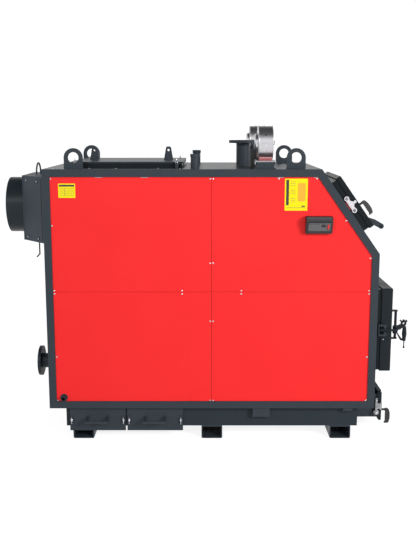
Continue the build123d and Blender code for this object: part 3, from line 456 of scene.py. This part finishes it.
def wing_nut(piece, place, size, stud):
    """A wing nut on a stud, its wings along local X."""
    hub = [(9, 0), (9, 4), (6, 9), (5.2, 11), (3, 11)]
    piece.lathe([(r * size, z * size) for r, z in hub], plated, place, 20)
    piece.lathe([(3 * size, 0), (3 * size, stud), (2.3 * size, stud + 1)], plated, place, 16)
    half = 1.7 * size
    wing = [(5, 1), (8, 2), (14, 7), (20, 13), (20.5, 17), (17.5, 19.5), (13.5, 18), (9, 12),
            (5, 10)]
    outline = [(x * size, y * size) for x, y in wing]
    for sign in SIDES:
        turn = Matrix(((sign, 0, 0, 0), (0, 0, -1, half), (0, 1, 0, 0), (0, 0, 0, 1)))
        piece.prism(outline, 2 * half, plated, place @ turn, 0.5)


def screw_rows(name, places):
    screws = Piece(name)
    for place in places:
        pan_screw(screws, place)
    screws.done()


# Screws on the casing. The side panels' rows are on both sides, as (height, places along X).
PANEL_SCREWS = (
    (1807, (-1059, -12, 7, 438, 688)),
    (1498, (-1059,)),
    (1531, (885,)),
    (1281, (1055,)),
    (1247, (-12, 8)),
    (850, (-12, 8)),
    (1060, (-1058, -201, 197, 1055)),
    (1038, (-1058, -201, 197, 1055)),
    (599, (-1058, 1055)),
    (290, (-1058, -12, 8, 1055)),
)
TOP_SCREWS = ((-1056, 437), (-638, 437), (-212, 463), (-189, 463), (664, 437), (-820, 390),
              (-359, 390), (150, 452))
REAR_SCREW_Y, REAR_SCREW_ZS = 440, (262, 640, 1020, 1330, 1840)
FRONT_SCREW_Y, FRONT_SCREW_ZS, SLOPE_SCREW_UPS = 445, (262, 640, 1020, 1285), (-310, 0, 310)

for side, sign in (("near", -1), ("far", 1)):
    screw_rows(f"panel_screws_{side}",
               [at((x, sign * PANEL_Y, z), (0, sign, 0)) for z, row in PANEL_SCREWS for x in row])
screw_rows("top_cover_screws", [at((x, sign * y, TOP_Z)) for x, y in TOP_SCREWS for sign in SIDES])
screw_rows("rear_cover_screws",
           [at((REAR_X, sign * REAR_SCREW_Y, z), REARWARD)
            for z in REAR_SCREW_ZS for sign in SIDES])
screw_rows("front_panel_screws",
           [at((FRONT_X, sign * FRONT_SCREW_Y, z), FRONTWARD)
            for z in FRONT_SCREW_ZS for sign in SIDES]
           + [at(on_slope(0, up, sign * FRONT_SCREW_Y), OUT)
              for up in SLOPE_SCREW_UPS for sign in SIDES])

# Plated clips that hold the panels' upper edges, as (place along X, width)
CLIP_Z = 1816
clips = Piece("panel_clips")
for x, width in ((-743, 48), (-445, 48), (446, 48), (679, 28)):
    for sign in SIDES:
        place = at((x, sign * PANEL_Y, CLIP_Z), (0, sign, 0))
        clips.prism(rounded(width, 3.6, 1.2), 1.6, clip_steel, place, 0.4)
clips.done()


# Labels: plain coloured plates with no words or marks

PLATE_THICK, PRINT_THICK = 0.6, 0.75


def label(name, x, z, width, height, blocks):
    """A plate with blocks of (shader, centre across, centre up, width, height, corner)."""
    piece = Piece(name)
    place = at((x, -PANEL_Y, z), NEARWARD)
    piece.prism(rounded(width, height, 4), PLATE_THICK, vinyl, place, 0.15)
    for shader, across, up, w, h, corner in blocks:
        outline = rounded(w, h, corner, centre=(across, up))
        piece.prism(outline, PRINT_THICK, shader, place, 0.05)
    piece.done()


LARGE_RULE_UPS = (84, 72, 60, 30, 18, 6, -24, -36, -48)
SMALL_RULE_UPS = (16, 4, -8, -20, -32)
label("large_label", x=552, z=1703, width=150, height=210, blocks=[
    (ink, -57, 14, 18, 168, 3),
    (orange_ink, 36, 16, 52, 120, 8),
    *[(grey_ink, -22, up, 34, 2.4, 1) for up in LARGE_RULE_UPS],
    (grey_ink, 0, -86, 124, 3, 1),
    (ink, 48, -76, 22, 8, 2),
])
label("small_label", x=-954.5, z=1729, width=112, height=94, blocks=[
    (ink, 0, 33, 100, 12, 2),
    *[(grey_ink, 0, up, 96, 2, 0.9) for up in SMALL_RULE_UPS],
    (grey_ink, -14, -8, 2, 52, 0.9),
])

# Controller: a leaning face with window, rocker, keys and lamps, and a lighter strip along its
# brow that is painted light on the sloping top.
# Heights on the face are from the plane that the face stands on.
CONTROLLER_X = 703
LEAN_OUT, LEAN_UP = 0.9392, 0.3434
FACE_PLACE = at((CONTROLLER_X, -558, 1496.5), (0, -LEAN_OUT, -LEAN_UP), (0, -LEAN_UP, LEAN_OUT))
BROW_PLACE = at((CONTROLLER_X, -565, 1553), (0, -1, 1))
FACE = 3.0
WINDOW_SPOT, ROCKER_SPOT, RULE_SPOT = (27, 9), (58, 2), (-34, 20)
KEY_X, KEY_PITCH, KEY_COUNT = -54, 22, 4
KEY_UP, LAMP_UP = -12, 2
controller = Piece("controller_face")
controller.prism(rounded(145, 57, 4), FACE + 0.8, panel_film, FACE_PLACE, 0.3)
controller.prism(rounded(30, 19, 1.5, centre=WINDOW_SPOT), FACE + 1.9, window, FACE_PLACE, 0.3)
controller.prism(ellipse(17, 43, ROCKER_SPOT), FACE + 3.4, case, FACE_PLACE, 0.8)
controller.prism(ellipse(13, 38, ROCKER_SPOT), FACE + 6.0, rocker, FACE_PLACE, 2.2)
for i in range(KEY_COUNT):
    x = KEY_X + KEY_PITCH * i
    key = rounded(15, 9, 3, centre=(x, KEY_UP))
    controller.prism(key, FACE + 1.9, panel_film, FACE_PLACE, 0.5)
    controller.lathe([(1.6, FACE), (1.6, FACE + 1.8), (0.9, FACE + 2.2)], ink,
                     FACE_PLACE @ Matrix.Translation((x, LAMP_UP, 0)))
controller.prism(rounded(70, 2, 0.9, centre=RULE_SPOT), FACE + 1.7, case, FACE_PLACE, 0.1)
controller.prism(rounded(164, 20, 3), 1.0, brow_lit_strip, BROW_PLACE, 0.3)
controller.done()

# Wing nuts, with the ears they clamp, on the clean-out covers
COVER_Y, COVER_NUT_Z, EAR_THICK = 480.0, 143, 4
cover_nuts = Piece("cleanout_wing_nuts")
for x in (-970, -612, -572, -215):
    place = at((x, -COVER_Y, COVER_NUT_Z), NEARWARD, FRONTWARD)
    cover_nuts.prism(rounded(58, 22, 6), EAR_THICK, dark, place, 0.8)
    wing_nut(cover_nuts, raised(place, EAR_THICK), size=1.15, stud=20)
cover_nuts.done()

# Swing posts and wing nuts along the hatch
POST_Y, POST_HEIGHT = 366, 33
hatch_nuts = Piece("hatch_wing_nuts")
for x in (-918, -237):
    for sign in SIDES:
        foot = at((x, sign * POST_Y, TOP_Z))
        hatch_nuts.prism(rounded(26, 22, 5), POST_HEIGHT, dark, foot, 1.0)
        wing_nut(hatch_nuts, raised(foot, POST_HEIGHT), size=1.05, stud=30)
hatch_nuts.done()


# Bolts on the collector's slanted sides, and black strips there as painted shade in a groove

COLLECTOR_REAR_X, COLLECTOR_REAR_Y = -1305, 210
COLLECTOR_RUN, COLLECTOR_SPREAD = 190, 220
COLLECTOR_BOLTS = ((-1273, 1781), (-1180, 1779), (-1274, 1392), (-1180, 1389.5))
RING_THICK, BOLT_ACROSS = 1.6, 9
GROOVE_X, GROOVE_Z, GROOVE_WIDTH, GROOVE_LENGTH = -1147.0, 1588, 11, 425


def on_collector(x, z, sign):
    """A placement on the collector's slanted side, facing out."""
    y = COLLECTOR_REAR_Y + COLLECTOR_SPREAD * (x - COLLECTOR_REAR_X) / COLLECTOR_RUN
    return at((x, sign * y, z), (-COLLECTOR_SPREAD, sign * COLLECTOR_RUN, 0))


collector = Piece("collector_bolts")
for sign in SIDES:
    for x, z in COLLECTOR_BOLTS:
        place = on_collector(x, z, sign)
        collector.lathe([(10, 0), (10, 1.2), (8.5, 1.8), (5, 1.8)], black_and_shade_paint, place)
        hex_head(collector, raised(place, RING_THICK), BOLT_ACROSS, plated)
collector.done()
# Painted shade: a thin black strip on each slanted side stands in for the shade in a groove
groove_shade_strips = Piece("collector_groove_shade")
for sign in SIDES:
    place = on_collector(GROOVE_X, GROOVE_Z, sign)
    groove_shade_strips.prism(rounded(GROOVE_WIDTH, GROOVE_LENGTH, 2), 0.5, black_and_shade_paint, place, 0.1)
groove_shade_strips.done()

# Fans: plate screws, screws and studs on the drum's faces, plugs round it, hub cap, terminal
# box's cover, and the rims of the drum and its neck
FANS = ((351.5, -1), (335.5, 1))
FAN_Y, FAN_RISE = 396, 171
FAN_PLATE_RISE, PLATE_SCREW_DX, PLATE_SCREW_DY = 53, 60, 66
DRUM_RADIUS, DRUM_HALF, RIM_DX, RIM_RADIUS = 108.5, 48.5, 46, 2.6
FACE_SCREWS, SCREW_RING, STUD_RING = 6, 84, 70
PLUG_TILTS, RUBBER_PLUG_TILT, PLUG_DX = (95, 28, -8), 28, -2
HUB_DX, NECK_DX, NECK_RADIUS = 60.5, -49, 62
TERMINAL_DX, TERMINAL_Y, TERMINAL_HEIGHT = -70.5, 267, 124
fans = Piece("fan_fittings")
for x, sign in FANS:
    y, z = sign * FAN_Y, TOP_Z + FAN_RISE
    for dx in (-PLATE_SCREW_DX, PLATE_SCREW_DX):
        for dy in (-PLATE_SCREW_DY, PLATE_SCREW_DY):
            pan_screw(fans, at((x + dx, y + dy, TOP_Z + FAN_PLATE_RISE)), 5.5)
    for i in range(FACE_SCREWS):
        angle = math.radians(60 * i + 30)
        across, up = math.cos(angle), math.sin(angle)
        screw = (x - DRUM_HALF, y + SCREW_RING * across, z + SCREW_RING * up)
        stud = (x + DRUM_HALF, y + STUD_RING * across, z + STUD_RING * up)
        pan_screw(fans, at(screw, REARWARD), 4.5)
        fans.lathe([(9, 0), (9, 1.6), (7, 2.4), (3, 2.4)], spun, at(stud, FRONTWARD), 18)
    for tilt in PLUG_TILTS:
        angle = math.radians(tilt)
        out = Vector((0, sign * math.cos(angle), math.sin(angle)))
        shader = rubber if tilt == RUBBER_PLUG_TILT else plated
        fans.lathe([(6.5, -1), (6.5, 1.5), (5, 2.6), (2, 2.6)], shader,
                   at(Vector((x + PLUG_DX, y, z)) + out * DRUM_RADIUS, out), 18)
    fans.lathe([(9, 0), (9, 2), (6, 3), (6, 5), (3, 6)], zinc,
               at((x + HUB_DX, y, z), FRONTWARD), 20)
    fans.prism(rounded(74, 42, 4), TERMINAL_HEIGHT, case,
               at((x + TERMINAL_DX, sign * TERMINAL_Y, TOP_Z)), 3.0)
    fans.sweep(circle((x + NECK_DX, y, z), NECK_RADIUS, FRONTWARD), 2.2, turned_and_reflection, True, 8)
    for end in SIDES:
        rim = circle((x + end * RIM_DX, y, z), DRUM_RADIUS + 1, FRONTWARD)
        fans.sweep(rim, RIM_RADIUS, spun, True, 8)
fans.done()

# Keeper screws, a red block in the loading door's keeper that is a painted reflection of the red
# side panels, and two pins.
# Those of the loading door have their places on the slope, and the ash keeper's heads have their
# widths.
LOADING_KEEPER_SCREWS = [on_slope(41, up, -318) for up in (56, -40)]
ASH_KEEPER_HEADS = (((1173, -325, 139), 15), ((1173, -321, 226), 9), ((1203, -321, 192), 8))
REFLECTION_SPOT, REFLECTION_DEPTH = on_slope(21, 8, -289), 21
LUG_PIN_SPOT = on_slope(135, -246, -262)
FIRE_KEEPER_PIN_SPOT = (1201, -322, 675)
keepers = Piece("keeper_screws")
for spot in LOADING_KEEPER_SCREWS:
    pan_screw(keepers, at(spot, NEARWARD, UP), 10, dull_zinc)
for spot, across in ASH_KEEPER_HEADS:
    hex_head(keepers, at(spot, NEARWARD), across, zinc)
keepers.done()
# Painted reflection: the red block in the keeper
reflection_block = Piece("keeper_painted_reflection")
reflection_block.prism(rounded(12, 58, 2), REFLECTION_DEPTH, keeper_red_reflection, at(REFLECTION_SPOT, NEARWARD, UP), 0.8)
reflection_block.done()
lug_pin = Piece("loading_lug_pin")
lug_pin.lathe([(8, -9), (9, -8), (8, -7), (8, 7), (9, 8), (8, 9), (3, 9)], black_and_shade_paint,
              at(LUG_PIN_SPOT, NEARWARD), 20)
lug_pin.done("loading_door")
pin = Piece("fire_keeper_pin")
pin.lathe([(4.6, 0), (4.6, 4), (3.4, 6), (2, 6)], plated, at(FIRE_KEEPER_PIN_SPOT, NEARWARD), 16)
pin.done()


# Door seals: rope in the fire door's frame, and rubber behind the loading door

def seal(name, width, height, corner, radius, shader, sides, place):
    """A closed seal round an opening in local YZ."""
    piece = Piece(name)
    loop = [(0, y, z) for y, z in rounded(width, height, corner, steps=6)]
    piece.sweep(loop, radius, shader, True, sides, place=place)
    piece.done()


FIRE_SEAL_OUT, FIRE_SEAL_Z = 69.5, 734.5
LOADING_SEAL_OUT = 57.4
slope = Matrix.Translation(SLOPE_MIDDLE) @ Matrix((OUT, (0, 1, 0), UP)).transposed().to_4x4()
seal("fire_door_seal", width=536, height=532, corner=26, radius=4.5, shader=rope, sides=10,
     place=Matrix.Translation((FRONT_X + FIRE_SEAL_OUT, 0, FIRE_SEAL_Z)))
seal("loading_door_seal", width=575, height=397, corner=10, radius=3.2, shader=rubber, sides=8,
     place=slope @ Matrix.Translation((LOADING_SEAL_OUT, 0, 0)))

# Weld beads at the feet of what is welded on. The rings are as (centre, ring's radius, axis,
# bead's radius).
LUG_XS, LUG_Y, LUG_FACES, LUG_REACH, LUG_BEAD = (-917, 555.5), 435, (-9, 9), 61, 3.2
EAR_XS, EAR_FACES, EAR_REACH, EAR_BEAD, LID_TOP_Z = (-834, -307.8), (-6, 6), 32, 2.6, 1911
RING_WELDS = (
    ((-113, -440, TOP_Z), 30, UPWARD, 3.0),
    ((-113, 440, TOP_Z), 30, UPWARD, 3.0),
    ((222, 0, TOP_Z), 48.5, UPWARD, 3.4),
    ((222, 0, 2029), 48.5, UPWARD, 3.2),
    ((REAR_X, 0, 428), 55, FRONTWARD, 3.4),
    ((-1254, 0, 428), 55, FRONTWARD, 3.2),
    ((-1313, 0, 1593), 196.5, FRONTWARD, 3.0),
)
WELD_WAVE = 0.5
welds = Piece("weld_beads")
for x in LUG_XS:
    for sign in SIDES:
        for face in LUG_FACES:
            y = sign * LUG_Y + face
            bead = line((x - LUG_REACH, y, TOP_Z), (x + LUG_REACH, y, TOP_Z))
            welds.sweep(bead, LUG_BEAD, weld, wave=WELD_WAVE)
for centre, ring, axis, radius in RING_WELDS:
    welds.sweep(circle(centre, ring, axis), radius, weld, True, wave=WELD_WAVE)
for x in EAR_XS:
    for face in EAR_FACES:
        bead = line((x - EAR_REACH, face, LID_TOP_Z), (x + EAR_REACH, face, LID_TOP_Z))
        welds.sweep(bead, EAR_BEAD, weld, wave=WELD_WAVE)
welds.done()


# Floor, world, lamps and camera

FLOOR_HALF, FLOOR_GREY, FLOOR_GLOW = 90.0, 0.42, 0.86
SKY_STRENGTH, SKY_LOW, SKY_HIGH = 1.1, 0.30, 0.80


def add_glow(tree, surface, strength):
    """Adds white light that only the camera, reflections and glass see."""
    nodes, links = tree.nodes, tree.links
    path = nodes.new("ShaderNodeLightPath")
    seen = path.outputs["Is Camera Ray"]
    for ray in ("Is Glossy Ray", "Is Transmission Ray"):
        either = nodes.new("ShaderNodeMath")
        either.operation = "MAXIMUM"
        links.new(seen, either.inputs[0])
        links.new(path.outputs[ray], either.inputs[1])
        seen = either.outputs[0]
    scale = nodes.new("ShaderNodeMath")
    scale.operation = "MULTIPLY"
    scale.inputs[1].default_value = strength
    links.new(seen, scale.inputs[0])
    glow = nodes.new("ShaderNodeEmission")
    links.new(scale.outputs[0], glow.inputs["Strength"])
    both = nodes.new("ShaderNodeAddShader")
    links.new(surface, both.inputs[0])
    links.new(glow.outputs[0], both.inputs[1])
    links.new(both.outputs[0], nodes.new("ShaderNodeOutputMaterial").inputs["Surface"])


def pale_floor():
    data = bpy.data.meshes.new("studio_floor")
    corners = [(-FLOOR_HALF, -FLOOR_HALF, 0), (FLOOR_HALF, -FLOOR_HALF, 0),
               (FLOOR_HALF, FLOOR_HALF, 0), (-FLOOR_HALF, FLOOR_HALF, 0)]
    data.from_pydata(corners, [], [(0, 1, 2, 3)])
    floor = bpy.data.objects.new("studio_floor", data)
    bpy.context.scene.collection.objects.link(floor)
    material = bpy.data.materials.new("pale_floor")
    material.use_nodes = True
    tree = material.node_tree
    tree.nodes.clear()
    diffuse = tree.nodes.new("ShaderNodeBsdfDiffuse")
    diffuse.inputs["Color"].default_value = (FLOOR_GREY, FLOOR_GREY, FLOOR_GREY, 1)
    add_glow(tree, diffuse.outputs[0], FLOOR_GLOW)
    data.materials.append(material)


def studio_world():
    """White from below up to a little over the horizon, and dark overhead."""
    world = bpy.data.worlds.new("studio_world")
    bpy.context.scene.world = world
    world.use_nodes = True
    tree = world.node_tree
    tree.nodes.clear()
    direction = tree.nodes.new("ShaderNodeTexCoord").outputs["Generated"]
    split = tree.nodes.new("ShaderNodeSeparateXYZ")
    tree.links.new(direction, split.inputs[0])
    ramp = tree.nodes.new("ShaderNodeValToRGB")
    ramp.color_ramp.elements[0].position = SKY_LOW
    ramp.color_ramp.elements[0].color = (1, 1, 1, 1)
    ramp.color_ramp.elements[1].position = SKY_HIGH
    ramp.color_ramp.elements[1].color = (0.07, 0.07, 0.075, 1)
    tree.links.new(split.outputs["Z"], ramp.inputs["Fac"])
    sky = tree.nodes.new("ShaderNodeBackground")
    sky.inputs["Strength"].default_value = SKY_STRENGTH
    tree.links.new(ramp.outputs["Color"], sky.inputs["Color"])
    output = tree.nodes.new("ShaderNodeOutputWorld")
    tree.links.new(sky.outputs[0], output.inputs["Surface"])


def area_light(name, origin, target, size, power):
    data = bpy.data.lights.new(name, "AREA")
    data.shape = "RECTANGLE"
    data.size, data.size_y = size
    data.energy = power
    lamp = bpy.data.objects.new(name, data)
    lamp.location = origin
    aim = Vector(target) - Vector(origin)
    lamp.rotation_euler = aim.to_track_quat("-Z", "Y").to_euler()
    bpy.context.scene.collection.objects.link(lamp)


pale_floor()
studio_world()
area_light("key", origin=(6.1, -7.1, 4.35), target=(0.5, -0.5, 1.2), size=(2.2, 2.2), power=500)
area_light("fill", origin=(-2.2, -8.0, 5.0), target=(-0.4, 0, 1.3), size=(1.6, 0.9), power=110)

# The camera as it was solved from the photograph: lens in mm, and degrees below the level
CAMERA_PLACE = (-0.0325, -5.815, 2.145)
CAMERA_LENS, SENSOR_WIDTH, CAMERA_SHIFT_X, CAMERA_DIP = 53.84, 36.0, 0.0015, 10.087
camera_data = bpy.data.cameras.new("camera")
camera_data.lens = CAMERA_LENS
camera_data.sensor_width = SENSOR_WIDTH
camera_data.shift_x = CAMERA_SHIFT_X
camera = bpy.data.objects.new("camera", camera_data)
camera.location = CAMERA_PLACE
camera.rotation_euler = (math.radians(90 - CAMERA_DIP), 0, 0)
bpy.context.scene.collection.objects.link(camera)
bpy.context.scene.camera = camera
bpy.context.scene.view_settings.view_transform = "Standard"
